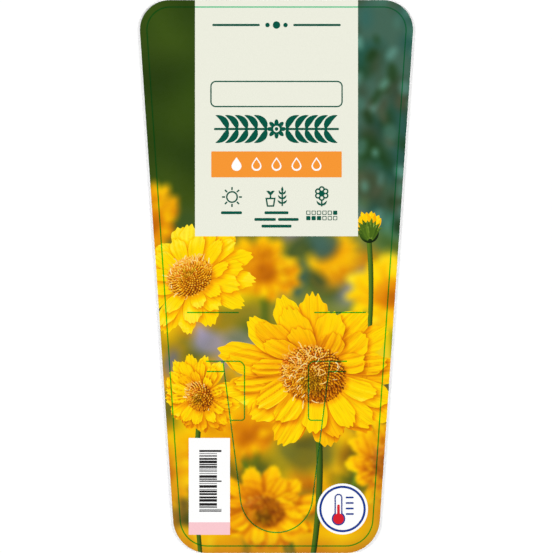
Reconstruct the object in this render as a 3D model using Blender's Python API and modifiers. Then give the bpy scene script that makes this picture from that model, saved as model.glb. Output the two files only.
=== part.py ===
"""A hanging label for a plant pot: one flat sheet of plastic, die-cut with a tongue and two slits.

The label lies on its back with its printed front up. X runs across it, +Y to its top edge and +Z
out of its front. The origin is under the middle of the sheet. Lengths are in metres.
"""

import math

import bmesh
import bpy
from mathutils import Vector

MM = 0.001

# The outer edge: straight sides that lean in towards the foot, and four rounded corners
LABEL_LENGTH = 221.2 * MM
WIDTH_AT_TOP = 110.95 * MM
WIDTH_AT_FOOT = 80.93 * MM
TOP_CORNER_RADIUS = 12.0 * MM
FOOT_CORNER_RADIUS = 13.8 * MM
SHEET_THICKNESS = 0.5 * MM

# The cuts, with heights measured down from the top edge and reaches out from the centre line
KERF = 0.05 * MM
STAPLE_SLIT_DEPTH = 125.0 * MM
STAPLE_SLIT_INNER = 15.1 * MM
STAPLE_SLIT_OUTER = 35.8 * MM
RIM_CUT_DEPTH = 144.5 * MM
RIM_CUT_OUTER = 28.2 * MM
SIDE_SLIT_DEPTH = 148.6 * MM
SIDE_SLIT_OUTER = 27.9 * MM
NECK_WIDTH = 25.6 * MM
WINDOW_FOOT_DEPTH = 168.1 * MM
WINDOW_TOP_RADIUS = 2.6 * MM
WINDOW_FOOT_RADIUS = 1.2 * MM
TONGUE_HALF_WIDTH = 21.4 * MM
TONGUE_LEAN = math.radians(7.22)
TONGUE_FOOT_DEPTH = 213.0 * MM
TONGUE_FOOT_RADIUS = 14.4 * MM

# The waste in each window hangs on two uncut nicks, one on the neck and one on the tongue line
NICK_DEPTH = 156.0 * MM
NICK_LENGTH = 0.8 * MM

ARC_STEP = math.radians(7.5)
WELD = 0.00001
PRINT_YELLOW = (0.84, 0.57, 0.03, 1.0)

TOP_EDGE = LABEL_LENGTH / 2


def clear_scene():
    for thing in list(bpy.data.objects):
        bpy.data.objects.remove(thing, do_unlink=True)


def new_collection(name):
    collection = bpy.data.collections.new(name)
    bpy.context.scene.collection.children.link(collection)
    return collection


def at(x, depth):
    """The point at this x and this depth below the top edge."""
    return Vector((x, TOP_EDGE - depth))


def fillet(before, corner, after, radius):
    """The arc that rounds one corner, as points from the first side to the second."""
    to_before = (before - corner).normalized()
    to_after = (after - corner).normalized()
    half_angle = to_before.angle(to_after) / 2
    reach = radius / math.tan(half_angle)
    centre = corner + (to_before + to_after).normalized() * radius / math.sin(half_angle)
    start = corner + to_before * reach - centre
    end = corner + to_after * reach - centre
    sweep = start.angle_signed(end)
    steps = math.ceil(abs(sweep) / ARC_STEP)
    points = []
    for step in range(steps + 1):
        turn = -sweep * step / steps
        across = start.x * math.cos(turn) - start.y * math.sin(turn)
        along = start.x * math.sin(turn) + start.y * math.cos(turn)
        points.append(centre + Vector((across, along)))
    return points


def rounded(corners, closed):
    """A line through corners, each a point and the radius that rounds it off."""
    points = []
    for index, (corner, radius) in enumerate(corners):
        if not closed and index in (0, len(corners) - 1):
            points.append(corner)
            continue
        before = corners[index - 1][0]
        after = corners[(index + 1) % len(corners)][0]
        points.extend(fillet(before, corner, after, radius))
    return points


def tongue_reach(depth):
    """How far the tongue's side lies from the centre line at this depth."""
    return TONGUE_HALF_WIDTH - (depth - RIM_CUT_DEPTH) * math.tan(TONGUE_LEAN)


def label_outline():
    top, foot = WIDTH_AT_TOP / 2, WIDTH_AT_FOOT / 2
    return rounded(
        [
            (at(-top, 0), TOP_CORNER_RADIUS),
            (at(-foot, LABEL_LENGTH), FOOT_CORNER_RADIUS),
            (at(foot, LABEL_LENGTH), FOOT_CORNER_RADIUS),
            (at(top, 0), TOP_CORNER_RADIUS),
        ],
        closed=True,
    )


def tongue_cut():
    """Down one side of the tongue from its nick, round its foot and up to the other nick."""
    start_depth = NICK_DEPTH + NICK_LENGTH / 2
    start = tongue_reach(start_depth)
    foot = tongue_reach(TONGUE_FOOT_DEPTH)
    return rounded(
        [
            (at(-start, start_depth), 0),
            (at(-foot, TONGUE_FOOT_DEPTH), TONGUE_FOOT_RADIUS),
            (at(foot, TONGUE_FOOT_DEPTH), TONGUE_FOOT_RADIUS),
            (at(start, start_depth), 0),
        ],
        closed=False,
    )


def side_cuts(side):
    """The cuts of one side, left at -1 and right at 1, named."""
    above_nick = NICK_DEPTH - NICK_LENGTH / 2
    below_nick = NICK_DEPTH + NICK_LENGTH / 2
    neck = side * NECK_WIDTH / 2
    return {
        "staple_slit": [
            at(side * STAPLE_SLIT_OUTER, STAPLE_SLIT_DEPTH),
            at(side * STAPLE_SLIT_INNER, STAPLE_SLIT_DEPTH),
        ],
        "side_slit": [
            at(side * SIDE_SLIT_OUTER, SIDE_SLIT_DEPTH),
            at(side * tongue_reach(SIDE_SLIT_DEPTH), SIDE_SLIT_DEPTH),
        ],
        "tongue_top": [
            at(side * tongue_reach(RIM_CUT_DEPTH), RIM_CUT_DEPTH),
            at(side * tongue_reach(above_nick), above_nick),
        ],
        "window_top": rounded(
            [
                (at(side * RIM_CUT_OUTER, RIM_CUT_DEPTH), 0),
                (at(neck, RIM_CUT_DEPTH), WINDOW_TOP_RADIUS),
                (at(neck, above_nick), 0),
            ],
            closed=False,
        ),
        "window_foot": rounded(
            [
                (at(neck, below_nick), 0),
                (at(neck, WINDOW_FOOT_DEPTH), WINDOW_FOOT_RADIUS),
                (at(side * tongue_reach(WINDOW_FOOT_DEPTH), WINDOW_FOOT_DEPTH), 0),
            ],
            closed=False,
        ),
    }


def printed_plastic():
    material = bpy.data.materials.new("printed_plastic")
    material.use_nodes = True
    shader = material.node_tree.nodes["Principled BSDF"]
    shader.inputs["Base Color"].default_value = PRINT_YELLOW
    shader.inputs["Roughness"].default_value = 0.4
    shader.inputs["Metallic"].default_value = 0.0
    return material


def sheet_mesh():
    """The sheet before it is cut: the outline as a filled curve, made a closed mesh."""
    points = label_outline()
    curve = bpy.data.curves.new("label_outline", "CURVE")
    curve.dimensions = "2D"
    curve.fill_mode = "BOTH"
    curve.extrude = SHEET_THICKNESS / 2
    spline = curve.splines.new("POLY")
    spline.points.add(len(points) - 1)
    spline.use_cyclic_u = True
    for spot, point in zip(spline.points, points):
        spot.co = (point.x, point.y, 0, 1)
    outline = bpy.data.objects.new("label_outline", curve)
    bpy.context.scene.collection.objects.link(outline)
    bpy.context.view_layer.update()
    evaluated = outline.evaluated_get(bpy.context.evaluated_depsgraph_get())
    mesh = bpy.data.meshes.new_from_object(evaluated)
    bpy.data.objects.remove(outline, do_unlink=True)
    shape = bmesh.new()
    shape.from_mesh(mesh)
    bmesh.ops.remove_doubles(shape, verts=shape.verts, dist=WELD)
    bmesh.ops.recalc_face_normals(shape, faces=shape.faces)
    shape.to_mesh(mesh)
    shape.free()
    return mesh


def add_cutter(name, points, cutters):
    """A thin upright wall along the points, as wide as the kerf and taller than the sheet."""
    shape = bmesh.new()
    low = [shape.verts.new((p.x, p.y, -SHEET_THICKNESS)) for p in points]
    high = [shape.verts.new((p.x, p.y, 2 * SHEET_THICKNESS)) for p in points]
    for index in range(len(points) - 1):
        shape.faces.new((low[index], low[index + 1], high[index + 1], high[index]))
    mesh = bpy.data.meshes.new(name)
    shape.to_mesh(mesh)
    shape.free()
    cutter = bpy.data.objects.new(name, mesh)
    cutters.objects.link(cutter)
    cutter.hide_render = True
    cutter.display_type = "WIRE"
    wall = cutter.modifiers.new("kerf", "SOLIDIFY")
    wall.thickness = KERF
    wall.offset = 0
    wall.use_even_offset = True


def add_cutters():
    cutters = new_collection("cutters")
    add_cutter("cut_tongue", tongue_cut(), cutters)
    for side, side_name in ((-1, "left"), (1, "right")):
        for cut_name, points in side_cuts(side).items():
            add_cutter(f"cut_{cut_name}_{side_name}", points, cutters)
    return cutters


def add_label_sheet(cutters):
    mesh = sheet_mesh()
    mesh.name = "label_sheet"
    mesh.materials.clear()
    mesh.materials.append(printed_plastic())
    sheet = bpy.data.objects.new("label_sheet", mesh)
    new_collection("pot_label").objects.link(sheet)
    sheet.location.z = SHEET_THICKNESS / 2
    cut = sheet.modifiers.new("die_cuts", "BOOLEAN")
    cut.operation = "DIFFERENCE"
    cut.solver = "EXACT"
    cut.operand_type = "COLLECTION"
    cut.collection = cutters


def main():
    clear_scene()
    add_label_sheet(add_cutters())


main()
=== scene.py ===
"""The look of a printed plant pot label: one die-cut plastic sheet with a garden picture on its front.

The print is drawn in millimetres in the plane of the sheet, x from the centre line and y up from
the middle, with depths measured down from the top edge. Every shape is a layer with its own paint.
All layers are cut into one mesh, and each corner of a face takes the colour of the layer on top.
"""

import math
from collections import namedtuple

import bpy
import numpy as np
from mathutils.geometry import delaunay_2d_cdt
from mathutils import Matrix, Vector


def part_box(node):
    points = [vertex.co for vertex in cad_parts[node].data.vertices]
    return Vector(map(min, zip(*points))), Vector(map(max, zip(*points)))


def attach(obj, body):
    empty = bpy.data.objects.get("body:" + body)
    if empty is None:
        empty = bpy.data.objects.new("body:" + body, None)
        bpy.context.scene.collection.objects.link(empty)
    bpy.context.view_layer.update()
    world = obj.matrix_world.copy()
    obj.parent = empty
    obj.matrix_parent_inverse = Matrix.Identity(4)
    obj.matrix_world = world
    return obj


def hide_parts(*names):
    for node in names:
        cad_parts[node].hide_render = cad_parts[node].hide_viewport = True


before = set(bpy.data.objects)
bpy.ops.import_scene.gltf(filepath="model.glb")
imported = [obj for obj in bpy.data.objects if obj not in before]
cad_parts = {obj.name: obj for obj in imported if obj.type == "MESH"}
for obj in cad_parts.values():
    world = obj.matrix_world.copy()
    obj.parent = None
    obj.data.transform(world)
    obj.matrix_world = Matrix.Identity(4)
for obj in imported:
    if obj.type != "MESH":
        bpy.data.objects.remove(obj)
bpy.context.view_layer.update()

MM = 0.001
SHEET_LOW, SHEET_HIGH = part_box("label_sheet")

# The sheet and its cuts, in millimetres
LABEL_LENGTH = (SHEET_HIGH.y - SHEET_LOW.y) / MM
THICKNESS = (SHEET_HIGH.z - SHEET_LOW.z) / MM
TOP_EDGE = LABEL_LENGTH / 2
WIDTH_AT_TOP = 110.95
WIDTH_AT_FOOT = 80.93
TOP_CORNER_RADIUS = 12.0
FOOT_CORNER_RADIUS = 13.8
KERF = 0.05
STAPLE_SLIT_DEPTH = 125.0
STAPLE_SLIT_INNER = 15.1
STAPLE_SLIT_OUTER = 35.8
RIM_CUT_DEPTH = 144.5
RIM_CUT_OUTER = 28.2
SIDE_SLIT_DEPTH = 148.6
SIDE_SLIT_OUTER = 27.9
NECK_WIDTH = 25.6
WINDOW_FOOT_DEPTH = 168.1
WINDOW_TOP_RADIUS = 2.6
WINDOW_FOOT_RADIUS = 1.2
TONGUE_HALF_WIDTH = 21.4
TONGUE_LEAN = math.radians(7.22)
TONGUE_FOOT_DEPTH = 213.0
TONGUE_FOOT_RADIUS = 14.4
NICK_DEPTH = 156.0
NICK_LENGTH = 0.8
EDGE_BEVEL = 0.06
ARC_STEP = math.radians(3)
COARSE_ARC_STEP = math.radians(15)

# The print, with spots given as x and the depth below the top edge
GUIDE_INSET = 2.8
GUIDE_WIDTH = 0.5
PANEL_WIDTH = 65.2
PANEL_FOOT = 94.5
DIVIDER_DEPTH = 10.0
NAME_FIELD_DEPTH = 37.6
NAME_FIELD_SIZE = (53.0, 10.6)
FRAME_LINE = 0.55
GARLAND_DEPTH = 51.6
GARLAND_SIZE = (50.0, 11.0)
BAND_DEPTH = 65.75
BAND_SIZE = (52.2, 10.4)
DROP_PITCH = 8.0
SUN_SPOT = (-17.8, 78.8)
POT_SPOT = (0, 78.8)
FLOWER_SPOT = (18.1, 78.7)
ICON_LINE = 0.62
CAPTION_DEPTH = 85.1
CAPTION_PITCH = 2.68
CAPTION_HEIGHT = 1.15
MONTH_PITCH = 2.15
BADGE_SPOT = (26.4, 203.6)
BARCODE_MODULES = 95
BARCODE_LENGTH = 25.2

# The flowers of the picture: petal rows give their count, length and width in proportion, and rise
PETAL_ROWS = ((13, 1.0, 0.33, 0.24), (12, 0.88, 0.30, 0.46), (10, 0.68, 0.25, 0.70))
DISC_SHARE = 0.35
DOME_RISE = 0.52
FLORET_CROWD = 3.3
STRIP_STEPS = 28
SHADOW_FALL = np.array([0.9, -1.2])
SHADOW_REACH = 2.5
SHADOW_STRENGTH = 0.44
CREASE_STRENGTH = 0.20
LIGHT = np.array([-0.42, 0.55, 0.72])
LIGHT /= np.linalg.norm(LIGHT)

# The mesh
GRID_PITCH = 0.65
GRID_ROW = 0.866
GRID_JITTER = 0.12
TINY = 1e-12

# The material
VEIN_FREQUENCY = 2.0
VEIN_STRENGTH = 0.75
SPECK_STRENGTH = 0.035
LOWEST_ROUGHNESS = 0.22
ROUGHNESS_SPREAD = 0.12


def tint(red, green, blue):
    """A display colour from its 0 to 255 levels."""
    return np.array([red, green, blue]) / 255


def tone_scale(*rows):
    """A scale of tones: each row is a value and the red, green and blue levels there."""
    scale = np.array(rows, float)
    scale[:, 1:] /= 255
    return scale


CREAM = tint(235, 236, 221)
INK_GREEN = tint(0, 84, 66)
ORANGE = tint(245, 150, 50)
WHITE = tint(253, 253, 252)
PINK = tint(248, 200, 205)
BLACK = tint(30, 28, 28)
BLUE = tint(24, 56, 140)
RED = tint(214, 32, 44)
PLASTIC_WHITE = tint(244, 245, 242)
FOOT_BROWN = tint(176, 106, 40)
STYLE_DARK = tint(236, 160, 30)
STYLE_PALE = tint(255, 236, 170)

PETAL_TONES = tone_scale(
    (0.00, 104, 44, 0), (0.20, 184, 90, 0), (0.38, 232, 142, 0), (0.54, 250, 180, 0),
    (0.72, 255, 206, 0), (0.90, 255, 217, 0), (1.00, 255, 229, 48),
)
DISC_TONES = tone_scale(
    (0.00, 74, 26, 0), (0.28, 150, 70, 0), (0.50, 216, 124, 0), (0.72, 246, 172, 8),
    (1.00, 255, 222, 92),
)
HEART_TONES = tone_scale(
    (0.00, 60, 34, 0), (0.28, 124, 80, 0), (0.50, 184, 126, 2), (0.72, 226, 170, 14),
    (1.00, 252, 216, 84),
)
EMBER_TONES = tone_scale(
    (0.00, 96, 18, 0), (0.28, 170, 56, 0), (0.50, 226, 98, 4), (0.72, 250, 148, 34),
    (1.00, 255, 210, 130),
)
LEAF_TONES = tone_scale((0.00, 18, 34, 8), (0.35, 52, 82, 18), (0.65, 104, 136, 34), (1.00, 186, 204, 96))


def smooth(low, high, value):
    """0 before low, 1 after high, and a soft step between; low may be the higher one."""
    part = np.clip((value - low) / (high - low), 0, 1)
    return part * part * (3 - 2 * part)


def tone(scale, value):
    """Colours read from a scale of tones at these values."""
    return np.stack([np.interp(value, scale[:, 0], scale[:, i]) for i in (1, 2, 3)], 1)


def mix(first, second, share):
    return first + (second - first) * np.asarray(share)[:, None]


def linear(colour):
    """Display colour to the light that it stands for."""
    return np.where(colour <= 0.04045, colour / 12.92, ((colour + 0.055) / 1.055) ** 2.4)


# Outlines


def at(x, depth):
    """The point at this x and this depth below the top edge."""
    return np.array([x, TOP_EDGE - depth])


def direction(angle):
    return np.array([math.cos(angle), math.sin(angle)])


def unit(vector):
    return vector / np.linalg.norm(vector)


def fillet(before, corner, after, radius, step):
    """The arc that rounds one corner, as points from the first side to the second."""
    to_before, to_after = unit(before - corner), unit(after - corner)
    half_angle = math.acos(np.clip(to_before @ to_after, -1, 1)) / 2
    centre = corner + unit(to_before + to_after) * radius / math.sin(half_angle)
    start = corner + to_before * radius / math.tan(half_angle) - centre
    end = corner + to_after * radius / math.tan(half_angle) - centre
    sweep = math.atan2(start[0] * end[1] - start[1] * end[0], start @ end)
    turns = np.linspace(0, sweep, math.ceil(abs(sweep) / step) + 1)
    across = start[0] * np.cos(turns) - start[1] * np.sin(turns)
    up = start[0] * np.sin(turns) + start[1] * np.cos(turns)
    return centre + np.stack([across, up], 1)


def rounded(*corners, step=ARC_STEP):
    """A line through corners, each a point and the radius that rounds it off."""
    points = []
    for index, (corner, radius) in enumerate(corners):
        if radius == 0:
            points.append(corner[None])
            continue
        before = corners[index - 1][0]
        after = corners[(index + 1) % len(corners)][0]
        points.append(fillet(before, corner, after, radius, step))
    return np.concatenate(points)


def label_outline(inset):
    """The sheet's edge, or a line at an even distance inside it."""
    lean = (WIDTH_AT_TOP - WIDTH_AT_FOOT) / 2 / LABEL_LENGTH
    stretch = math.hypot(1, lean)

    def half_width(depth):
        return WIDTH_AT_TOP / 2 - lean * depth - inset * stretch

    low = LABEL_LENGTH - inset
    return rounded(
        (at(-half_width(inset), inset), TOP_CORNER_RADIUS - inset),
        (at(-half_width(low), low), FOOT_CORNER_RADIUS - inset),
        (at(half_width(low), low), FOOT_CORNER_RADIUS - inset),
        (at(half_width(inset), inset), TOP_CORNER_RADIUS - inset),
    )


def tongue_reach(depth):
    """How far the tongue's side lies from the centre line at this depth."""
    return TONGUE_HALF_WIDTH - (depth - RIM_CUT_DEPTH) * math.tan(TONGUE_LEAN)


def tongue_line(start_depth):
    """Down one side of the tongue, round its foot and up the other side."""
    start = tongue_reach(start_depth)
    foot = tongue_reach(TONGUE_FOOT_DEPTH)
    return rounded(
        (at(-start, start_depth), 0),
        (at(-foot, TONGUE_FOOT_DEPTH), TONGUE_FOOT_RADIUS),
        (at(foot, TONGUE_FOOT_DEPTH), TONGUE_FOOT_RADIUS),
        (at(start, start_depth), 0),
    )


def window_line(side, top_end, foot_start):
    """The two lines round a window, from the rim cut to the neck and on to the tongue's side."""
    neck = side * NECK_WIDTH / 2
    above = rounded(
        (at(side * RIM_CUT_OUTER, RIM_CUT_DEPTH), 0),
        (at(neck, RIM_CUT_DEPTH), WINDOW_TOP_RADIUS),
        (at(neck, top_end), 0),
    )
    below = rounded(
        (at(neck, foot_start), 0),
        (at(neck, WINDOW_FOOT_DEPTH), WINDOW_FOOT_RADIUS),
        (at(side * tongue_reach(WINDOW_FOOT_DEPTH), WINDOW_FOOT_DEPTH), 0),
    )
    return [above, below]


def short_slits(side):
    """The upper slit and the slit beside the neck, each a line of two points."""
    slits = (
        (STAPLE_SLIT_OUTER, STAPLE_SLIT_INNER, STAPLE_SLIT_DEPTH),
        (SIDE_SLIT_OUTER, tongue_reach(SIDE_SLIT_DEPTH), SIDE_SLIT_DEPTH),
    )
    return [np.array([at(side * outer, depth), at(side * inner, depth)]) for outer, inner, depth in slits]


def cut_paths():
    """Every cut through the sheet, with the nicks left whole."""
    above, below = NICK_DEPTH - NICK_LENGTH / 2, NICK_DEPTH + NICK_LENGTH / 2
    paths = [tongue_line(below)]
    for side in (-1, 1):
        tongue_top = [at(side * tongue_reach(depth), depth) for depth in (RIM_CUT_DEPTH, above)]
        paths.append(np.array(tongue_top))
        paths.extend(window_line(side, above, below))
        paths.extend(short_slits(side))
    return paths


def guide_paths():
    """The printed line along each cut, which runs on across the nicks."""
    paths = [tongue_line(RIM_CUT_DEPTH)]
    for side in (-1, 1):
        above, below = window_line(side, NICK_DEPTH, NICK_DEPTH)
        paths.append(np.concatenate([above, below[1:]]))
        paths.extend(short_slits(side))
    return paths


def stepped(path, closed=False):
    """The same line with points added, so that no step is longer than the grid's pitch."""
    ends = np.roll(path, -1, axis=0) if closed else path[1:]
    pieces = []
    for start, end in zip(path, ends):
        count = max(1, math.ceil(np.linalg.norm(end - start) / GRID_PITCH))
        pieces.append(start + (end - start) * (np.arange(count) / count)[:, None])
    if not closed:
        pieces.append(path[-1:])
    return np.concatenate(pieces)


def left_of(steps):
    """Unit vectors to the left of each step."""
    return np.stack([-steps[:, 1], steps[:, 0]], 1) / np.linalg.norm(steps, axis=1)[:, None]


def ribbon(path, width, closed=False):
    """A line of this width as four-sided faces, with mitred corners."""
    path = np.asarray(path, float)
    normals = left_of(np.diff(np.vstack([path, path[:1]]) if closed else path, axis=0))
    if closed:
        before, after = np.roll(normals, 1, axis=0), normals
    else:
        before, after = np.vstack([normals[:1], normals]), np.vstack([normals, normals[-1:]])
    middle = before + after
    middle *= (2 / (middle**2).sum(1))[:, None] * width / 2
    left, right = path + middle, path - middle
    count = len(path) if closed else len(path) - 1
    ahead = [(i + 1) % len(path) for i in range(count)]
    return [np.array([left[i], right[i], right[j], left[j]]) for i, j in enumerate(ahead)]


def rotation(angle):
    return np.array([[math.cos(angle), -math.sin(angle)], [math.sin(angle), math.cos(angle)]])


def ellipse(centre, radii, angle=0.0, sides=48):
    turns = np.arange(sides) * 2 * math.pi / sides
    spots = np.stack([radii[0] * np.cos(turns), radii[1] * np.sin(turns)], 1)
    return np.asarray(centre) + spots @ rotation(angle).T


def circle(centre, radius, sides=48):
    return ellipse(centre, (radius, radius), 0.0, sides)


def bar(centre, width, height, radius=0.0):
    """A rectangle, with rounded corners where a radius is given."""
    x, y = width / 2, height / 2
    corners = [(centre + np.array(spot), radius) for spot in ((-x, y), (-x, -y), (x, -y), (x, y))]
    return rounded(*corners, step=COARSE_ARC_STEP)


def distance_to(points, loop):
    """Distance from each point to a closed loop, below zero inside it."""
    ahead = np.roll(loop, -1, axis=0)
    side = ahead - loop
    reach = points[:, None] - loop
    along = np.clip((reach * side).sum(2) / np.maximum((side**2).sum(1), TINY), 0, 1)
    gap = np.linalg.norm(reach - along[..., None] * side, axis=2).min(1)
    crosses = (loop[:, 1] > points[:, None, 1]) != (ahead[:, 1] > points[:, None, 1])
    rise = np.where(np.abs(side[:, 1]) < TINY, TINY, side[:, 1])
    meets = loop[:, 0] + (points[:, None, 1] - loop[:, 1]) * side[:, 0] / rise
    inside = (crosses & (points[:, None, 0] < meets)).sum(1) % 2 == 1
    return np.where(inside, -gap, gap)


def near(points, loop, margin):
    """Which points lie in a loop's box, grown by a margin."""
    low, high = loop.min(0) - margin, loop.max(0) + margin
    return np.flatnonzero(((points > low) & (points < high)).all(1))


# Layers of the print


# Faces of one paint, which takes points and gives their display colours and grain values
Layer = namedtuple("Layer", ["faces", "paint", "kind"], defaults=["ink"])


def without_grain(colours):
    return colours, np.zeros_like(colours)


def flat(colour):
    """A paint of one colour, with no grain."""
    return lambda points: without_grain(np.tile(colour, (len(points), 1)))


def inked(colour, loop):
    return Layer([loop], flat(colour))


class Backdrop:
    """The blurred part of the picture, painted on an even grid and read back between its points."""

    PITCH = 0.5
    MARGIN = 15.0

    def __init__(self):
        reach = np.array([WIDTH_AT_TOP / 2, TOP_EDGE]) + self.MARGIN
        self.low = -reach
        columns, rows = (2 * reach / self.PITCH).astype(int)
        self.shape = (rows, columns)
        across, up = np.meshgrid(np.arange(columns), np.arange(rows))
        self.spots = self.low + self.PITCH * np.stack([across.ravel(), up.ravel()], 1)
        self.colours = ground_colours(self.spots)

    def lay(self, layers, blur, strength=1.0):
        """Paints layers over what is there, blurred together as a lens blurs what is out of focus."""
        colours, cover = np.zeros_like(self.colours), np.zeros(len(self.spots))
        for layer in layers:
            for loop in layer.faces:
                some = near(self.spots, loop, self.PITCH)
                share = strength * smooth(0.3, -0.3, distance_to(self.spots[some], loop))
                some, share = some[share > 0], share[share > 0]
                if len(some) == 0:
                    continue
                paint = layer.paint(self.spots[some])[0]
                colours[some] = mix(colours[some], paint, share)
                cover[some] += (1 - cover[some]) * share
        kernel = self.kernel(blur)
        cover = self.blurred(cover, kernel)
        colours = np.stack([self.blurred(colours[:, i], kernel) for i in range(3)], 1)
        self.colours = colours + self.colours * (1 - cover[:, None])

    def kernel(self, blur):
        """A soft round spot of this radius, ready to blur with."""
        down, across = (np.minimum(np.arange(n), n - np.arange(n)) * self.PITCH for n in self.shape)
        spot = smooth(blur + 0.5, blur - 0.5, np.hypot(down[:, None], across[None]))
        return np.fft.rfft2(spot / spot.sum())

    def blurred(self, values, kernel):
        return np.fft.irfft2(np.fft.rfft2(values.reshape(self.shape)) * kernel, self.shape).ravel()

    def paint(self, points):
        place = (points - self.low) / self.PITCH
        corner = np.floor(place).astype(int)
        across, up = (place - corner).T
        low_left = corner[:, 1] * self.shape[1] + corner[:, 0]
        high_left = low_left + self.shape[1]
        below = mix(self.colours[low_left], self.colours[low_left + 1], across)
        above = mix(self.colours[high_left], self.colours[high_left + 1], across)
        return without_grain(mix(below, above, up))


def ground_colours(points):
    """The soft base of the picture: dark green over blue-green on top, golden below."""
    depth = TOP_EDGE - points[:, 1]
    across = smooth(-30, 34, points[:, 0])
    top = mix(tint(48, 70, 16), tint(66, 100, 84), across)
    middle = mix(tint(150, 128, 24), tint(116, 130, 56), across)
    foot = mix(tint(216, 150, 0), tint(232, 172, 0), across)
    return mix(mix(top, middle, smooth(62, 104, depth)), foot, smooth(120, 176, depth))


def warm_edge(points):
    """How far the picture fades to brown along the sheet's foot."""
    rim = smooth(-9, 2, distance_to(points, label_outline(0)[::2]))
    return 0.6 * rim * smooth(150, 215, TOP_EDGE - points[:, 1])


# Flowers


def turned(tilt, heading):
    """The rotation that tips an upright bloom by tilt towards a heading in the picture."""
    spin = np.eye(3)
    spin[:2, :2] = rotation(heading)
    tip = np.array([[math.cos(tilt), 0, math.sin(tilt)], [0, 1, 0], [-math.sin(tilt), 0, math.cos(tilt)]])
    return spin @ tip @ spin.T


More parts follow.
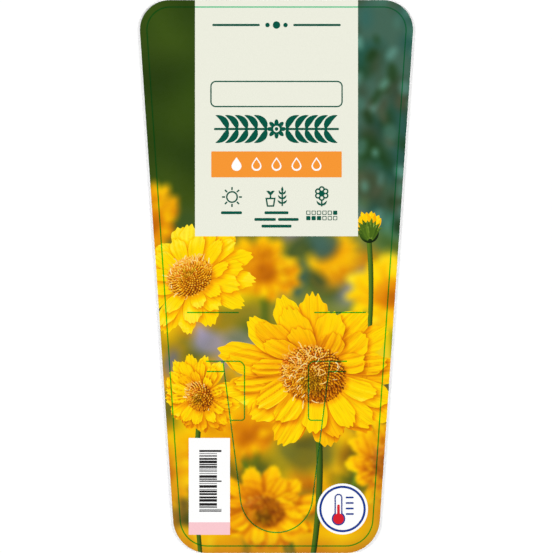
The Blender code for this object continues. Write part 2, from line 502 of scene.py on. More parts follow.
class Petal:
    """One ray of a bloom: a bent and pleated strip in space, seen from the front of the label."""

    EDGE_STEPS = 22
    TIP_STEPS = 26
    TRY_ACROSS = 13
    TRY_ALONG = 31

    def __init__(self, bloom, heading, length, width, rise, chance):
        self.bloom = bloom
        self.heading = heading
        self.length = length
        self.width = width
        self.rise = rise
        self.droop = chance.uniform(0.35, 0.75)
        self.sweep = chance.uniform(-0.10, 0.10)
        self.cup = chance.uniform(-0.16, 0.20)
        self.pleats = chance.choice([2, 3])
        self.pleat_depth = chance.uniform(0.10, 0.24)
        self.pleat_shift = chance.uniform(-0.7, 0.7)
        self.teeth = chance.choice([3, 4])
        self.tooth_depth = chance.uniform(0.035, 0.075)
        self.skew = chance.uniform(-0.05, 0.05)
        self.twist = chance.uniform(-0.5, 0.5)
        self.wave = chance.uniform(0, 2 * math.pi)
        self.brightness = chance.uniform(-0.07, 0.07)
        self.seed = chance.uniform(0, 100)
        self.above = []
        edge = np.linspace(0, 1, self.EDGE_STEPS)
        tip = np.linspace(-1, 1, self.TIP_STEPS)[1:-1]
        across = np.concatenate([-np.ones_like(edge), tip, np.ones_like(edge)])
        along = np.concatenate([edge, np.ones_like(tip), edge[::-1]])
        self.loop = self.place(across, along)[:, :2]
        tries = np.meshgrid(np.linspace(-1, 1, self.TRY_ACROSS), np.linspace(0, 1, self.TRY_ALONG))
        self.try_across, self.try_along = tries[0].ravel(), tries[1].ravel()
        self.try_spots = self.place(self.try_across, self.try_along)[:, :2]

    def half_width(self, along):
        swell = 0.34 + 0.66 * np.sin(math.pi / 2 * np.clip(along / 0.66, 0, 1)) ** 1.25
        return self.width / 2 * swell * (1 - 0.20 * smooth(0.72, 1.0, along))

    def place(self, across, along):
        """Points in space from places on the petal, -1 to 1 across and 0 to 1 along."""
        teeth = self.tooth_depth * (1 - np.cos(math.pi * self.teeth * (across + 1))) / 2
        reach = 1 - 0.20 * np.abs(across) ** 2.6 - teeth * (1 - 0.3 * np.abs(across)) + self.skew * across
        run = along * reach
        slope = self.rise - self.droop * run
        out = self.bloom.root + self.length * (math.sin(self.rise) - np.sin(slope)) / self.droop
        up = self.length * (np.cos(slope) - math.cos(self.rise)) / self.droop
        half = self.half_width(run)
        relief = self.cup * half * across**2 + self.twist * across * run * half * 0.25
        fold = math.pi * self.pleats * across + self.pleat_shift * (1 + run)
        relief += self.pleat_depth * np.cos(fold) * smooth(0.02, 0.35, run)
        relief += 0.05 * np.cos(2.3 * fold + self.wave)
        relief += 0.5 * np.sin(7 * run + self.wave) * across * np.abs(across) * run
        out = out - np.sin(slope) * relief
        up = up + np.cos(slope) * relief
        heading = self.heading + self.sweep * run**1.5
        x = out * np.cos(heading) - half * across * np.sin(heading)
        y = out * np.sin(heading) + half * across * np.cos(heading)
        return self.bloom.seen(np.stack([x, y, up], 1))

    def slopes(self, across, along, small):
        """The place of each spot, and how it moves for a small step across and along."""
        here = self.place(across, along)
        return here, self.place(across + small, along) - here, self.place(across, along + small) - here

    def locate(self, points):
        """Where on the petal each point of the picture is."""
        gaps = ((points[:, None] - self.try_spots) ** 2).sum(2)
        best = gaps.argmin(1)
        across, along = self.try_across[best], self.try_along[best]
        small = 0.002
        for _ in range(3):
            here, by_across, by_along = (step[:, :2] for step in self.slopes(across, along, small))
            by_across, by_along = by_across / small, by_along / small
            miss = points - here
            area = by_across[:, 0] * by_along[:, 1] - by_across[:, 1] * by_along[:, 0]
            area = np.where(np.abs(area) < 1e-3, 1e-3, area)
            step_across = (miss[:, 0] * by_along[:, 1] - miss[:, 1] * by_along[:, 0]) / area
            step_along = (by_across[:, 0] * miss[:, 1] - by_across[:, 1] * miss[:, 0]) / area
            across = np.clip(across + np.clip(step_across, -0.2, 0.2), -1, 1)
            along = np.clip(along + np.clip(step_along, -0.1, 0.1), 0, 1)
        return across, along

    def shade(self, points):
        """How much of the light is left after the shadows of what lies over the petal."""
        share = np.ones(len(points))
        for loop, height in self.above:
            fall = height * SHADOW_FALL
            some = near(points - fall, loop, SHADOW_REACH)
            if len(some) == 0:
                continue
            gap = distance_to(points[some] - fall, loop)
            share[some] = np.minimum(share[some], 1 - SHADOW_STRENGTH * smooth(1.9, -0.5, gap))
            touch = distance_to(points[some], loop)
            share[some] *= 1 - CREASE_STRENGTH * smooth(0.8, 0.0, touch)
        return share

    def paint(self, points):
        across, along = self.locate(points)
        _, by_across, by_along = self.slopes(across, along, 0.004)
        normal = np.cross(by_along, by_across)
        normal /= np.maximum(np.linalg.norm(normal, axis=1), 1e-9)[:, None]
        normal *= np.where(normal[:, 2] < 0, -1, 1)[:, None]
        value = 0.42 + 0.57 * np.clip(normal @ LIGHT, -0.2, 1) + self.brightness + self.bloom.brightness
        value += 0.06 * smooth(0.5, 1.0, along)
        value *= 0.66 + 0.34 * smooth(0.0, 0.34, along)
        value *= self.shade(points)
        sideways = across * self.half_width(along) + self.seed
        grain = np.stack([sideways, along * self.length, np.ones(len(points))], 1)
        return tone(PETAL_TONES, np.clip(value, 0.02, 1)), grain


class Bloom:
    """A daisy-like flower: rows of petals round a domed disc of florets, in proportion to its radius."""

    def __init__(self, x, depth, radius, tilt, heading, seed, brightness=0.0):
        self.centre = at(x, depth)
        self.disc = radius * DISC_SHARE
        self.root = self.disc * 0.55
        self.turn = turned(math.radians(tilt), math.radians(heading))
        self.brightness = brightness
        self.petals = []
        chance = np.random.default_rng(seed)
        self.chance = chance
        start = chance.uniform(0, 2 * math.pi)
        for row, (count, share, width, rise) in enumerate(PETAL_ROWS):
            for index in chance.permutation(count):
                angle = start + (index + row * 0.5 + chance.uniform(-0.16, 0.16)) * 2 * math.pi / count
                length = (radius - self.root) * share * chance.uniform(0.92, 1.06)
                wide = radius * width * chance.uniform(0.9, 1.1)
                tip = rise + chance.uniform(-0.10, 0.10)
                self.petals.append(Petal(self, angle, length, wide, tip, chance))
        self.hood = self.dome_loop()
        for index, petal in enumerate(self.petals):
            petal.above = [(other.loop, 0.8) for other in self.petals[index + 1 :]]
            petal.above.append((self.hood, 1.2))

    def seen(self, points):
        """Where points of the upright bloom appear, with their height towards the viewer."""
        spots = points @ self.turn.T
        spots[:, :2] += self.centre
        return spots

    def dome_height(self, radius):
        return self.disc * (0.22 + DOME_RISE * (1 - (radius / self.disc) ** 2))

    def dome_loop(self):
        """The outline of the disc as it is seen."""
        radius = self.disc * 0.97
        ring = circle((0, 0), radius, 40)
        return self.seen(np.column_stack([ring, np.full(len(ring), self.dome_height(radius))]))[:, :2]

    def florets(self, pitch):
        """Centre, size, outward direction and place of each floret on the dome, outer ones first."""
        count = int((self.disc / pitch) ** 2 * FLORET_CROWD)
        for index in reversed(range(count)):
            radius = self.disc * math.sqrt((index + 0.5) / count)
            out = direction(index * math.pi * (3 - math.sqrt(5)))
            spot = np.array([*(radius * out), self.dome_height(radius)])
            normal = np.array([*(2 * DOME_RISE * radius / self.disc * out), 1.0])
            size = pitch * self.chance.uniform(0.58, 0.80)
            yield self.seen(spot[None])[0, :2], size, self.turn @ unit(normal), radius / self.disc

    def dome_paint(self, points):
        gap = distance_to(points, self.hood) / self.disc
        return without_grain(tone(DISC_TONES, np.clip(0.14 - gap * 0.2, 0, 1)))

    def soft_dome_paint(self, points):
        """The florets of a far disc run together into a lit dome with a darker heart."""
        away = (points - self.centre) / self.disc
        lit = 0.52 + 0.26 * (away @ LIGHT[:2])
        lit -= 0.12 * smooth(0.5, 0.1, np.hypot(away[:, 0], away[:, 1]))
        return without_grain(tone(DISC_TONES, np.clip(lit, 0, 1)))

    def layers(self, dome_paint):
        petals = [Layer([petal.loop], petal.paint) for petal in self.petals]
        return [*petals, Layer([self.hood], dome_paint)]

    def far_layers(self):
        return self.layers(self.soft_dome_paint)

    def near_layers(self, pitch, curls):
        layers = self.layers(self.dome_paint)
        for centre, size, out, place in self.florets(pitch):
            ember = 0.5 + 0.5 * (centre - self.centre) @ LIGHT[:2] / self.disc
            layers.append(floret_layer(centre, size, out, place, ember, self.chance))
        layers.extend(self.curl_layer() for _ in range(curls))
        return layers

    def curl_layer(self):
        """One pale style: a fine thread that bends out of a floret, most of them on the lit side."""
        chance = self.chance
        radius = self.disc * math.sqrt(chance.uniform(0.05, 1.0))
        turn = math.atan2(LIGHT[1], LIGHT[0]) + chance.normal(0, 1.1)
        foot = np.array([*(radius * direction(turn)), self.dome_height(radius) + 0.4])
        foot = self.seen(foot[None])[0, :2]
        lean = turn + chance.uniform(-1.2, 1.2)
        length = self.disc * chance.uniform(0.12, 0.28)
        turns = lean + chance.uniform(-1.8, 1.8) * np.linspace(0, 1, 6)
        steps = np.stack([np.cos(turns), np.sin(turns)], 1) * length / 6
        path = foot + np.vstack([[0, 0], np.cumsum(steps, axis=0)])
        colour = mix(STYLE_DARK, STYLE_PALE, [chance.uniform(0, 1)])[0]
        return Layer(ribbon(path, chance.uniform(0.22, 0.36)), flat(colour))


def floret_layer(spot, size, out, place, ember, chance):
    """One floret: a short tube that leans out of the dome, dark at its root and bright at its tip."""
    lean = math.atan2(out[1], out[0]) + chance.uniform(-0.6, 0.6)
    along = direction(lean)
    side = np.array([-along[1], along[0]])
    reach = size * (0.75 + 0.75 * math.hypot(out[0], out[1]))
    width = size * 0.62
    base = 0.52 + 0.10 * place + chance.uniform(-0.14, 0.16) + 0.36 * (out @ LIGHT - 0.7)
    ripe = smooth(0.15, 0.6, place + chance.uniform(-0.15, 0.15))
    glow = 0.75 * smooth(0.52, 0.86, ember + chance.uniform(-0.2, 0.2))

    def paint(points):
        ahead = (points - spot) @ along / reach
        away = (points - spot) @ side / width
        value = np.clip(base + 0.34 * ahead - 0.20 * away**2 + 0.10 * away * (side @ LIGHT[:2]), 0, 1)
        colours = mix(tone(HEART_TONES, value), tone(DISC_TONES, value), [ripe])
        return without_grain(mix(colours, tone(EMBER_TONES, value), [glow]))

    return Layer([ellipse(spot, (reach, width), lean, sides=8)], paint)


def strip_layer(path, widths, tones, fold, brightness):
    """A stem or a leaf: a curved strip with a width along it, round or folded along its middle."""
    halves = widths / 2
    normals = left_of(np.gradient(path, axis=0))
    left, right = path + normals * halves[:, None], path - normals * halves[:, None]

    def paint(points):
        nearest = ((points[:, None] - path) ** 2).sum(2).argmin(1)
        away = ((points - path[nearest]) * normals[nearest]).sum(1)
        across = np.clip(away / np.maximum(halves[nearest], 0.05), -1, 1)
        tilt = np.sign(across) * fold if fold else across * 0.85
        height = LIGHT[2] * np.sqrt(np.clip(1 - tilt**2, 0.1, 1))
        value = 0.12 + 0.55 * ((normals[nearest] * tilt[:, None]) @ LIGHT[:2] + height) + brightness
        if fold:
            value += 0.22 * smooth(0.16, 0.04, np.abs(across))
        grain = np.stack([away, nearest * 0.5, np.full(len(points), 0.5)], 1)
        return tone(tones, np.clip(value, 0, 1)), grain

    return Layer([np.concatenate([right, left[::-1]])], paint)


def bend(start, middle, end):
    """Points on a smooth curve between two ends, drawn towards a middle point."""
    part = np.linspace(0, 1, STRIP_STEPS)[:, None]
    return (1 - part) ** 2 * start + 2 * part * (1 - part) * middle + part**2 * end


def stem(start, middle, end, width, brightness=0.0):
    widths = np.linspace(width * 1.1, width * 0.85, STRIP_STEPS)
    return strip_layer(bend(start, middle, end), widths, LEAF_TONES, 0.0, brightness)


def leaf(start, middle, end, width, brightness=0.0, tones=LEAF_TONES):
    along = np.linspace(0, 1, STRIP_STEPS)
    widths = width * np.clip(np.sin(math.pi * along**0.8), 0.02, 1) ** 0.8
    return strip_layer(bend(start, middle, end), widths, tones, 0.35, brightness)


def bud_layers(x, depth, size, heading, seed):
    """An opening bud: folded yellow petals over a round green cup of sepals."""
    chance = np.random.default_rng(seed)
    centre = at(x, depth)
    for index in chance.permutation(9):
        side = direction(heading + (index - 4) * 0.22 + chance.uniform(-0.06, 0.06))
        end = centre + side * size * chance.uniform(1.55, 1.95)
        shine = chance.uniform(0.05, 0.35)
        yield leaf(centre, centre + side * size * 1.2, end, size * 0.72, shine, PETAL_TONES)

    def paint(points):
        away = (points - centre) / size
        height = np.sqrt(np.clip(1 - (away**2).sum(1), 0.03, 1))
        lit = away @ LIGHT[:2] + height * LIGHT[2]
        return without_grain(tone(LEAF_TONES, np.clip(0.02 + 0.60 * lit, 0, 1)))

    yield Layer([ellipse(centre, (size * 0.92, size * 0.86), heading)], paint)
    for index in (0, 8, 1, 7, 2, 6, 3, 5, 4):
        side = direction(heading + (index - 4) * 0.34)
        start = centre - direction(heading) * size * 0.75 + side * size * 0.2
        end = centre + side * size * chance.uniform(1.05, 1.3)
        yield leaf(start, centre + side * size * 0.45, end, size * 0.46, chance.uniform(-0.08, 0.16))


# The picture


def scattered(seed, count, box, sizes, levels, upright=False):
    """Blobs at random places in a box given as left, right, top depth and foot depth."""
    chance = np.random.default_rng(seed)
    left, right, top, foot = box
    for _ in range(count):
        centre = at(chance.uniform(left, right), chance.uniform(top, foot))
        size = chance.uniform(*sizes)
        shape = (size, size * chance.uniform(0.3, 0.8))
        angle = chance.uniform(0.9, 2.2) if upright else chance.uniform(0, math.pi)
        colour = tint(*levels[chance.integers(len(levels))]) * chance.uniform(0.88, 1.12)
        yield inked(np.clip(colour, 0, 1), ellipse(centre, shape, angle, sides=20))


def lay_foliage(backdrop):
    """Far leaves: dark green at the upper left, blue-green at the upper right."""
    dark = [(42, 66, 12), (54, 78, 16), (58, 80, 18), (44, 68, 14)]
    backdrop.lay(scattered(11, 40, (-60, -16, -6, 92), (8, 16), dark), 7.0, 0.8)
    blue = [(46, 92, 84), (72, 126, 108), (30, 64, 26), (60, 74, 50), (34, 80, 68)]
    backdrop.lay(scattered(12, 90, (20, 60, -6, 96), (3.5, 9), blue, upright=True), 3.0, 0.85)
    light = [(98, 150, 136), (80, 128, 110), (28, 58, 20), (76, 84, 62)]
    backdrop.lay(scattered(13, 60, (26, 58, -4, 94), (1.6, 4.2), light, upright=True), 1.6, 0.7)


def lay_ground(backdrop):
    """Behind the flowers: green, brown and lavender-grey gaps among golden light."""
    mixed = [(66, 92, 30), (112, 120, 60), (160, 152, 188), (140, 130, 156), (52, 76, 32)]
    backdrop.lay(scattered(21, 60, (-54, 54, 88, 170), (4, 10), mixed), 4.0, 0.85)
    gold = [(250, 194, 0), (236, 164, 0), (255, 210, 0), (212, 132, 0)]
    backdrop.lay(scattered(22, 34, (-50, 50, 100, 180), (4, 10), gold), 3.6, 0.8)
    backdrop.lay(scattered(23, 60, (-48, 48, 168, 228), (6, 14), gold), 5.0, 0.8)
    earth = [(52, 70, 24), (86, 80, 24), (120, 84, 50), (40, 62, 26)]
    backdrop.lay(scattered(24, 34, (-46, 46, 150, 212), (4, 10), earth), 3.2, 0.9)


def random_bloom(chance):
    radius = chance.uniform(9, 15)
    x, depth = chance.uniform(-52, 52), chance.uniform(100, 222)
    tilt, heading = chance.uniform(20, 55), chance.uniform(0, 360)
    seed = int(chance.integers(1000))
    return Bloom(x, depth, radius, tilt, heading, seed, -0.05 + chance.uniform(-0.08, 0.04))


def lay_meadow(backdrop):
    """Rows of blooms and stems out of focus, from the far ones to the near ones."""
    chance = np.random.default_rng(61)
    backdrop.lay([layer for _ in range(15) for layer in random_bloom(chance).far_layers()], 3.2)
    teal = [(40, 78, 74), (64, 96, 84), (48, 70, 40)]
    backdrop.lay(scattered(27, 7, (8, 21, 92, 114), (5, 9), teal), 2.6, 0.85)
    violet = [(158, 150, 184), (126, 122, 146), (96, 110, 70)]
    backdrop.lay(scattered(29, 9, (-44, -8, 132, 156), (3, 7), violet), 2.8, 0.75)
    shade = [(44, 66, 26), (66, 80, 26), (92, 96, 40)]
    backdrop.lay(scattered(28, 12, (-14, 36, 176, 202), (4, 8), shade), 4.4, 0.75)
    middle = []
    for x, depth, radius, tilt, heading, seed in (
        (46, 118, 20, 34, 100, 41),
        (-6, 107, 18, 42, 250, 42),
        (-46, 188, 17, 36, 200, 43),
        (-52, 88, 17, 40, 330, 48),
        (-36, 226, 18, 30, 60, 45),
        (-13, 173, 14, 40, 300, 47),
    ):
        middle.append(stem(at(x, depth), at(x + 4, depth + 40), at(x - 3, depth + 80), 1.8, -0.05))
        middle.extend(Bloom(x, depth, radius, tilt, heading, seed, -0.03).far_layers())
    backdrop.lay(middle, 1.9)


def lay_near_meadow(backdrop):
    """Two leaves and two blooms that are only just out of focus."""
    layers = [
        leaf(at(9, 232), at(2, 206), at(-14, 184), 5.0),
        leaf(at(30, 196), at(38, 178), at(44, 158), 4.0, 0.05),
        *Bloom(42, 186, 20, 48, 20, 44, -0.04).near_layers(1.2, 0),
        *Bloom(-5, 203, 24, 44, 262, 46, -0.01).near_layers(1.2, 0),
    ]
    backdrop.lay(layers, 0.7)


def picture_layers():
    """The whole picture, as layers from back to front: a blurred backdrop, then the sharp flowers."""
    backdrop = Backdrop()
    lay_foliage(backdrop)
    lay_ground(backdrop)
    lay_meadow(backdrop)
    lay_near_meadow(backdrop)
    backdrop.colours = mix(backdrop.colours, FOOT_BROWN, warm_edge(backdrop.spots))
    return [
        Layer([label_outline(-1.0)], backdrop.paint),
        stem(at(15, 156), at(20, 190), at(14, 226), 2.6, -0.08),
        stem(at(37, 96), at(40, 130), at(32, 170), 1.9),
        *bud_layers(37, 93, 4.6, math.radians(98), 51),
        stem(at(-30, 160), at(-34, 190), at(-30, 226), 2.0, -0.05),
        *Bloom(-30, 158, 18, 38, 215, 33, -0.02).near_layers(0.85, 16),
        *Bloom(-34, 112, 27, 38, 118, 31, -0.05).near_layers(0.85, 40),
        *Bloom(15, 148, 38, 32, 258, 32, 0.04).near_layers(1.0, 90),
    ]


# The panel and the small marks on it


def green(loop):
    return inked(INK_GREEN, loop)


def icon_line(path, closed=False):
    return Layer(ribbon(path, ICON_LINE, closed), flat(INK_GREEN))


def icon_leaf(start, middle, end, width):
    return Layer(leaf(start, middle, end, width).faces, flat(INK_GREEN))


def panel_layers():
    """The cream panel, which runs on past the sheet's top edge."""
    panel = bar((0, TOP_EDGE - PANEL_FOOT / 2 + 2), PANEL_WIDTH, PANEL_FOOT + 4)
    yield inked(CREAM, stepped(panel, closed=True))


def divider_layers(depth):
    """Two plain rules with a row of three dots between them."""
    for side in (-1, 1):
        yield green(bar(at(side * 16.2, depth), 19.0, 0.9, 0.44))
        yield green(circle(at(side * 3.6, depth), 0.9, 24))
    yield green(circle(at(0, depth), 1.5, 32))


def name_field_layers(depth, width, height):
    """An empty field to write in: a thin rounded frame."""
    yield green(bar(at(0, depth), width, height, 2.2))
    yield inked(CREAM, bar(at(0, depth), width - 2 * FRAME_LINE, height - 2 * FRAME_LINE, 1.65))


def garland_layers(depth, width, height):
    """A bold row of leaves along a stem, mirrored about a small flower in the middle."""
    yield green(bar(at(0, depth), width, 0.9, 0.4))
    flower = 4.2
    pitch = (width / 2 - flower) / 5.4
    for side in (-1, 1):
        for index in range(5):
            foot = side * (flower + index * pitch)
            for up in (-1, 1):
                middle = at(foot + side * pitch * 0.1, depth - up * height * 0.38)
                end = at(foot + side * pitch * 1.25, depth - up * height / 2)
                yield icon_leaf(at(foot, depth), middle, end, pitch * 0.66)
    for turn in np.arange(8) * math.pi / 4:
        yield green(ellipse(at(0, depth) + direction(turn) * 2.3, (1.6, 0.85), turn, 24))
    yield inked(CREAM, circle(at(0, depth), 1.3, 32))
    yield green(circle(at(0, depth), 0.75, 32))


def drop_loop(centre, size, sides=28):
    """A water drop: round below and pointed above."""
    turns = np.arange(sides) * 2 * math.pi / sides
    narrow = np.where(np.sin(turns) > 0, 1 - 0.75 * np.sin(turns) ** 1.4, 1)
    x = size * np.cos(turns) * narrow
    y = size * np.sin(turns) * np.where(np.sin(turns) > 0, 1.7, 1.0)
    return centre + np.stack([x, y - 0.3 * size], 1)


def band_layers(depth, width, height):
    """The orange band, with one full drop and four empty ones."""
    yield inked(ORANGE, bar(at(0, depth), width, height, 0.3))
    for index in range(5):
        spot = at((index - 2) * DROP_PITCH, depth)
        yield inked(WHITE, drop_loop(spot, 2.0))
        if index > 0:
            yield inked(ORANGE, drop_loop(spot, 1.45))


def sun_layers(centre, radius):
    yield green(circle(centre, radius))
    yield inked(CREAM, circle(centre, radius - ICON_LINE))
    for index in range(8):
        out = direction(index * math.pi / 4)
        yield icon_line([centre + out * (radius + 0.35), centre + out * (radius + 1.6)])


def pot_layers(centre):
    """A small pot with a sprout, beside a taller plant."""
    left = centre + (-2.4, -1.2)
    rim = [left + spot for spot in ((-1.7, 0.6), (1.7, 0.6), (1.2, -2.4), (-1.2, -2.4))]
    yield icon_line(rim, closed=True)
    yield icon_line([left + (0, 0.6), left + (0, 2.4)])
    for side in (-1, 1):
        yield icon_leaf(left + (0, 1.9), left + (side * 0.3, 3.3), left + (side * 1.7, 3.6), 1.1)
    right = centre + (2.3, 0)
    yield icon_line([right + (0, -3.6), right + (0, 2.6)])
    for level in range(3):
        for side in (-1, 1):
            foot = right + (0, -2.6 + level * 1.9)
            yield icon_leaf(foot, foot + (side * 1.2, 0.3), foot + (side * (1.9 - level * 0.3), 1.5), 0.8)
    yield icon_leaf(right + (0, 2.2), right + (0, 3.0), right + (0, 4.2), 1.0)


def flower_icon_layers(centre):
    """A line-drawn flower with six round petals, a stem and two leaves."""
    head = centre + (0, 1.3)
    foot = centre + (0, -3.2)
    yield icon_line([head, centre + (0, -3.9)])
    for side in (-1, 1):
        yield icon_leaf(foot, foot + (side * 1.3, 0.0), foot + (side * 2.1, 1.7), 0.9)
    petals = [head + 1.75 * direction(turn) for turn in np.arange(6) * math.pi / 3 + math.pi / 6]
    for spot in petals:
        yield green(circle(spot, 1.2, 28))
    for spot in petals:
        yield inked(CREAM, circle(spot, 1.2 - ICON_LINE, 24))
    yield green(circle(head, 0.95, 28))


def caption_layers(x, *rows):
    """Short plain bars, each row given as the widths of its bars."""
    gap = 0.9
    for row, widths in enumerate(rows):
        start = x - (sum(widths) + gap * (len(widths) - 1)) / 2
        for width in widths:
            spot = at(start + width / 2, CAPTION_DEPTH + row * CAPTION_PITCH)
            yield green(bar(spot, width, CAPTION_HEIGHT, CAPTION_HEIGHT * 0.35))
            start += width + gap


def month_layers(x, depth):
    """Twelve small squares in two rows of six, with four of them filled."""
    for month in range(12):
        spot = at(x + (month % 6 - 2.5) * MONTH_PITCH, depth + (month // 6) * MONTH_PITCH)
        yield green(bar(spot, 1.7, 1.7, 0.25))
        if not 5 <= month <= 8:
            yield inked(CREAM, bar(spot, 1.1, 1.1, 0.1))


def barcode_layers():
    """A white box with a made-up row of bars and a plain pink strip under it."""
    left, right = -35.1, -18.6
    top, strip, foot = 175.2, 208.9, 213.9
    middle, width = (left + right) / 2, right - left
    for colour, high, low in ((WHITE, top, strip), (PINK, strip, foot)):
        yield inked(colour, stepped(bar(at(middle, (high + low) / 2), width, low - high), closed=True))
    module = BARCODE_LENGTH / BARCODE_MODULES
    bars_left, bars_top = -30.9, 180.0
    chance = np.random.default_rng(5)
    place = 0
    while place < BARCODE_MODULES - 3:
        thick = int(chance.integers(1, 5))
        depth = bars_top + (place + thick / 2) * module
        long = place < 3 or place > BARCODE_MODULES - 8 or 44 < place < 50
        length = 8.9 if long else 7.1
        yield inked(BLACK, bar(at(bars_left + length / 2, depth), length, thick * module))
        place += thick + int(chance.integers(1, 3))


def badge_layers(centre):
    """A round white badge with a blue ring and a plain thermometer."""
    for radius, colour in ((10.2, WHITE), (9.3, BLUE), (8.4, WHITE)):
        yield inked(colour, circle(centre, radius, 72))
    tube = centre + (-1.6, 1.4)
    bulb = centre + (-1.6, -3.9)
    yield inked(BLUE, bar(tube, 3.2, 9.4, 1.6))
    yield inked(BLUE, circle(bulb, 2.7, 40))
    yield inked(WHITE, bar(tube, 2.1, 8.3, 1.05))
    yield inked(RED, circle(bulb, 2.15, 40))
    yield inked(RED, bar(tube + (0, -2.4), 1.1, 5.6, 0.5))
    for index in range(4):
        yield inked(BLUE, bar(centre + (2.9, 4.6 - index * 2.2), 3.2, 0.7, 0.3))


def print_layers():
    return [
        *picture_layers(),
        *panel_layers(),
        *divider_layers(DIVIDER_DEPTH),
        *name_field_layers(NAME_FIELD_DEPTH, *NAME_FIELD_SIZE),
        *garland_layers(GARLAND_DEPTH, *GARLAND_SIZE),
        *band_layers(BAND_DEPTH, *BAND_SIZE),
        *sun_layers(at(*SUN_SPOT), 2.4),
        *pot_layers(at(*POT_SPOT)),
        *flower_icon_layers(at(*FLOWER_SPOT)),
        *caption_layers(-18.0, [8.4]),
        *caption_layers(0.0, [9.6], [8.6, 8.2], [12.0]),
        *month_layers(18.1, CAPTION_DEPTH),
        *barcode_layers(),
        *badge_layers(at(*BADGE_SPOT)),
    ]


def guide_layers():
    """The thin green lines: one inside the edge and one along each cut. They tint what they cross."""
    faces = ribbon(stepped(label_outline(GUIDE_INSET), closed=True), GUIDE_WIDTH, closed=True)
    for path in guide_paths():
        faces.extend(ribbon(stepped(path), GUIDE_WIDTH))
    cuts = [face for path in cut_paths() for face in ribbon(stepped(path), KERF)]
    return [Layer(faces, None, "guide"), Layer(cuts, None, "cut")]


def guide_tint(colours):
    return np.clip(colours * (0.24, 0.76, 0.58) + (0.0, 0.05, 0.01), 0, 1)


# The sheet


def grid_points():
    """Points all over the picture, so that its soft colours run smoothly."""
    chance = np.random.default_rng(7)
    half_width = WIDTH_AT_TOP / 2
    rows = int(LABEL_LENGTH / (GRID_PITCH * GRID_ROW))
    columns = int(2 * half_width / GRID_PITCH)
    column, row = np.meshgrid(np.arange(columns), np.arange(rows))
    x = (column + 0.5 * (row % 2) + 0.25) * GRID_PITCH - half_width
    y = TOP_EDGE - (row + 0.5) * GRID_PITCH * GRID_ROW
    points = np.stack([x.ravel(), y.ravel()], 1)
    points += chance.uniform(-GRID_JITTER, GRID_JITTER, points.shape) * GRID_PITCH
    in_label = distance_to(points, label_outline(0)[::2]) < -0.2
    in_panel = (np.abs(points[:, 0]) < PANEL_WIDTH / 2 + 0.1) & (points[:, 1] > TOP_EDGE - PANEL_FOOT - 0.1)
    return points[in_label & ~in_panel]


def doubled_area(loop):
    """Twice the area in a loop, above zero where it runs counter-clockwise."""
    ahead = np.roll(loop, -1, axis=0)
    return (loop[:, 0] * ahead[:, 1] - loop[:, 1] * ahead[:, 0]).sum()


def cut_up(layers):
    """All layers cut into triangles: points, triangles, top layer, and which lie in guides or cuts."""
    points, faces, face_layer = [], [], []
    total = 0
    for index, layer in enumerate(layers):
        for loop in layer.faces:
            points.append(loop if doubled_area(loop) > 0 else loop[::-1])
            faces.append(list(range(total, total + len(loop))))
            face_layer.append(index)
            total += len(loop)
    points.append(grid_points())
    spots = [tuple(spot) for spot in np.concatenate(points)]
    out = delaunay_2d_cdt(spots, [], faces, 0, 1e-4, True)
    corners = np.array([tuple(spot) for spot in out[0]])
    triangles = np.array(out[2])
    kinds = [layer.kind for layer in layers]
    outline = kinds.index("edge")
    top = np.full(len(triangles), -1)
    in_guide = np.zeros(len(triangles), bool)
    kept = np.zeros(len(triangles), bool)
    for index, sources in enumerate(out[5]):
        owners = {face_layer[source] for source in sources}
        inks = [owner for owner in owners if kinds[owner] == "ink"]
        if outline not in owners or not inks:
            continue
        top[index] = max(inks)
        in_guide[index] = any(kinds[owner] == "guide" for owner in owners)
        kept[index] = all(kinds[owner] != "cut" for owner in owners)
    used, places = np.unique(triangles[kept], return_inverse=True)
    return corners[used], places.reshape(-1, 3), top[kept], in_guide[kept]


def corner_colours(layers, corners, triangles, top, in_guide):
    """Display colour and grain at each corner of each triangle."""
    keys = top[:, None] * len(corners) + triangles
    unique, where = np.unique(keys.ravel(), return_inverse=True)
    owner, corner = unique // len(corners), unique % len(corners)
    colours, grain = np.zeros((len(unique), 3)), np.zeros((len(unique), 3))
    starts = np.flatnonzero(np.diff(owner, prepend=-1))
    for start, end in zip(starts, [*starts[1:], len(owner)]):
        colours[start:end], grain[start:end] = layers[owner[start]].paint(corners[corner[start:end]])
    colours, grain = colours[where.ravel()], grain[where.ravel()]
    tinted = np.repeat(in_guide, 3)
    colours[tinted] = guide_tint(colours[tinted])
    return np.clip(colours, 0, 1), grain


def rim_edges(triangles):
    """The open edges of a sheet of triangles, each running with the sheet on its left."""
    edges = np.concatenate([triangles[:, [0, 1]], triangles[:, [1, 2]], triangles[:, [2, 0]]])
    edges = [tuple(edge) for edge in edges.tolist()]
    present = set(edges)
    return [edge for edge in edges if edge[::-1] not in present]


def rim_loops(edges):
    """Open edges chained into closed loops."""
    ahead = dict(edges)
    loops = []
    while ahead:
        start = next(iter(ahead))
        loop = [start]
        spot = ahead.pop(start)
        while spot != start:
            loop.append(spot)
            spot = ahead.pop(spot)
        loops.append(loop)
    return loops


def back_triangles(corners, loops):
    """The back face: the outer loop filled round the cuts, facing down."""
    order = [index for loop in loops for index in loop]
    faces, total, outer = [], 0, None
    for number, loop in enumerate(loops):
        face = list(range(total, total + len(loop)))
        if doubled_area(corners[loop]) > 0:
            outer = number
        else:
            face.reverse()
        faces.append(face)
        total += len(loop)
    out = delaunay_2d_cdt([tuple(corners[index]) for index in order], [], faces, 0, 1e-6, True)
    to_corner = [order[sources[0]] for sources in out[3]]
    inside = [triangle for triangle, sources in zip(out[2], out[5]) if set(sources) == {outer}]
    return [[to_corner[index] for index in reversed(triangle)] for triangle in inside]


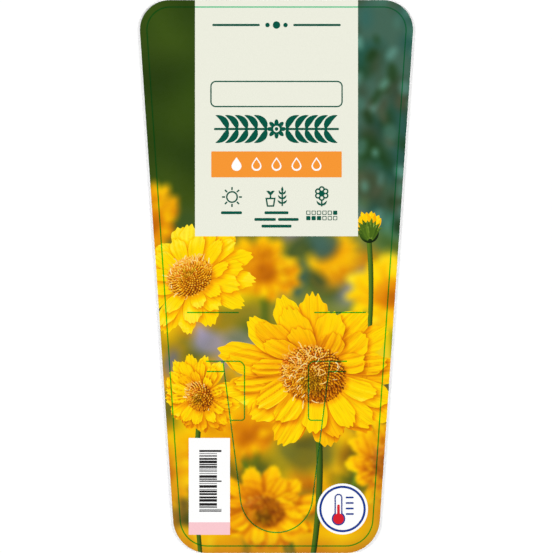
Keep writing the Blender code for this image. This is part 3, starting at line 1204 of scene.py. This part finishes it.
def closed_sheet(corners, triangles):
    """Points and faces of the closed sheet: the printed front, the walls of edge and cuts, the back."""
    edges = rim_edges(triangles)
    loops = rim_loops(edges)
    rim = sorted({index for edge in edges for index in edge})
    low = {index: len(corners) + place for place, index in enumerate(rim)}
    heights = np.full(len(corners), THICKNESS)
    heights[max(loops, key=len)] -= EDGE_BEVEL
    front = np.column_stack([corners, heights])
    back = np.column_stack([corners[rim], np.zeros(len(rim))])
    walls = [(b, a, low[a], low[b]) for a, b in edges]
    back_faces = [[low[index] for index in triangle] for triangle in back_triangles(corners, loops)]
    return np.concatenate([front, back]), triangles.tolist() + walls + back_faces


def sheet_object(name):
    """The whole sheet as one closed mesh, with the print's colours on its front."""
    edge = Layer([stepped(label_outline(0), closed=True)], None, "edge")
    bevel = Layer([stepped(label_outline(EDGE_BEVEL), closed=True)], None, "bevel")
    layers = [*print_layers(), *guide_layers(), edge, bevel]
    corners, triangles, top, in_guide = cut_up(layers)
    colours, grain = corner_colours(layers, corners, triangles, top, in_guide)
    points, faces = closed_sheet(corners, triangles)
    mesh = bpy.data.meshes.new(name)
    mesh.from_pydata((points * MM).tolist(), [], faces)
    plain = len(mesh.loops) - len(colours)
    inks = linear(np.concatenate([colours, np.tile(PLASTIC_WHITE, (plain, 1))]))
    inks = np.column_stack([inks, np.ones(len(inks))]).astype(np.float32)
    attribute = mesh.color_attributes.new("ink", "FLOAT_COLOR", "CORNER")
    attribute.data.foreach_set("color", inks.ravel())
    grains = np.concatenate([grain, np.zeros((plain, 3))]).astype(np.float32)
    attribute = mesh.attributes.new("grain", "FLOAT_VECTOR", "CORNER")
    attribute.data.foreach_set("vector", grains.ravel())
    mesh.update()
    sheet = bpy.data.objects.new(name, mesh)
    bpy.context.scene.collection.objects.link(sheet)
    return sheet


# Materials


class Nodes:
    """Short calls for building a material's node tree."""

    def __init__(self, name):
        self.material = bpy.data.materials.new(name)
        self.material.use_nodes = True
        self.tree = self.material.node_tree
        self.shader = self.tree.nodes["Principled BSDF"]

    def add(self, kind, settings=None, **inputs):
        node = self.tree.nodes.new(kind)
        for key, value in (settings or {}).items():
            setattr(node, key, value)
        for key, value in inputs.items():
            self.feed(node, key, value)
        return node

    def feed(self, node, key, value):
        """Links or sets a node's input, named, or numbered where the name starts with n."""
        socket = node.inputs[int(key[1:])] if key[0] == "n" else node.inputs[key]
        if isinstance(value, bpy.types.NodeSocket):
            self.tree.links.new(value, socket)
        else:
            socket.default_value = value

    def math(self, operation, first, second):
        return self.add("ShaderNodeMath", {"operation": operation}, n0=first, n1=second).outputs[0]


def printed_plastic():
    """Satin printed plastic: the ink's colour with petal veins, a fine grain and a faint ripple."""
    nodes = Nodes("printed_plastic")
    ink = nodes.add("ShaderNodeAttribute", {"attribute_name": "ink"}).outputs["Color"]
    grain = nodes.add("ShaderNodeAttribute", {"attribute_name": "grain"}).outputs["Vector"]
    parts = nodes.add("ShaderNodeSeparateXYZ", Vector=grain)
    across = nodes.math("MULTIPLY", parts.outputs["X"], VEIN_FREQUENCY)
    along = nodes.math("MULTIPLY", parts.outputs["Y"], 0.10)
    vein_place = nodes.add("ShaderNodeCombineXYZ", X=across, Y=along)
    veins = nodes.add("ShaderNodeTexNoise", Vector=vein_place.outputs[0], Scale=1.0, Detail=3.0)
    vein = nodes.math("SUBTRACT", veins.outputs["Fac"], 0.5)
    vein = nodes.math("MULTIPLY", vein, parts.outputs["Z"])
    vein = nodes.math("MULTIPLY", vein, VEIN_STRENGTH)
    place = nodes.add("ShaderNodeTexCoord").outputs["Object"]
    speckle = nodes.add("ShaderNodeTexNoise", Vector=place, Scale=1500.0, Detail=2.0)
    speck = nodes.math("SUBTRACT", speckle.outputs["Fac"], 0.5)
    speck = nodes.math("MULTIPLY", speck, SPECK_STRENGTH)
    share = nodes.math("ADD", nodes.math("ADD", vein, speck), 1.0)
    colour = nodes.add("ShaderNodeVectorMath", {"operation": "SCALE"}, Vector=ink, Scale=share)
    nodes.feed(nodes.shader, "Base Color", colour.outputs[0])
    ripple = nodes.add("ShaderNodeTexNoise", Vector=place, Scale=420.0, Detail=2.0).outputs["Fac"]
    rough = nodes.math("MULTIPLY", ripple, ROUGHNESS_SPREAD)
    nodes.feed(nodes.shader, "Roughness", nodes.math("ADD", rough, LOWEST_ROUGHNESS))
    nodes.feed(nodes.shader, "Specular IOR Level", 0.38)
    bump = nodes.add("ShaderNodeBump", Strength=0.12, Distance=0.00002, Height=ripple)
    nodes.feed(nodes.shader, "Normal", bump.outputs[0])
    return nodes.material


def floor_material():
    nodes = Nodes("floor")
    nodes.feed(nodes.shader, "Base Color", (0.98, 0.98, 0.98, 1))
    nodes.feed(nodes.shader, "Roughness", 0.9)
    nodes.feed(nodes.shader, "Specular IOR Level", 0.0)
    return nodes.material


# The stage, in metres


def add_floor():
    bpy.ops.mesh.primitive_plane_add(size=4, location=(0, 0, -0.0002))
    floor = bpy.context.object
    floor.name = "floor"
    floor.data.materials.append(floor_material())


def add_light(name, place, power):
    """A round softbox that faces the label."""
    light = bpy.data.lights.new(name, "AREA")
    light.shape = "DISK"
    light.size = 1.4
    light.energy = power
    lamp = bpy.data.objects.new(name, light)
    lamp.location = place
    lamp.rotation_euler = (-lamp.location).to_track_quat("-Z", "Y").to_euler()
    bpy.context.scene.collection.objects.link(lamp)


def add_lights():
    add_light("left_softbox", (-2.4, 0.9, 1.7), 70)
    add_light("right_softbox", (2.4, 0.4, 1.7), 58)
    add_light("front_softbox", (0.2, -2.4, 1.7), 38)
    world = bpy.data.worlds.new("studio")
    world.use_nodes = True
    background = world.node_tree.nodes["Background"]
    background.inputs["Color"].default_value = (1, 1, 1, 1)
    background.inputs["Strength"].default_value = 0.05
    bpy.context.scene.world = world


def add_camera():
    """Straight above the label, far off, with the label as high as the frame."""
    camera = bpy.data.cameras.new("camera")
    camera.sensor_width = 36
    camera.lens = 300
    camera.clip_end = 20
    half_frame = math.atan(camera.sensor_width / 2 / camera.lens)
    view = bpy.data.objects.new("camera", camera)
    view.location = (0, 0, (LABEL_LENGTH / 2 * MM) / math.tan(half_frame) + THICKNESS * MM)
    bpy.context.scene.collection.objects.link(view)
    bpy.context.scene.camera = view


def main():
    sheet = sheet_object("printed_label")
    sheet.data.materials.append(printed_plastic())
    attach(sheet, "root")
    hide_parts("label_sheet")
    add_floor()
    add_lights()
    add_camera()
    bpy.context.scene.view_settings.view_transform = "Standard"
    bpy.context.view_layer.update()


main()
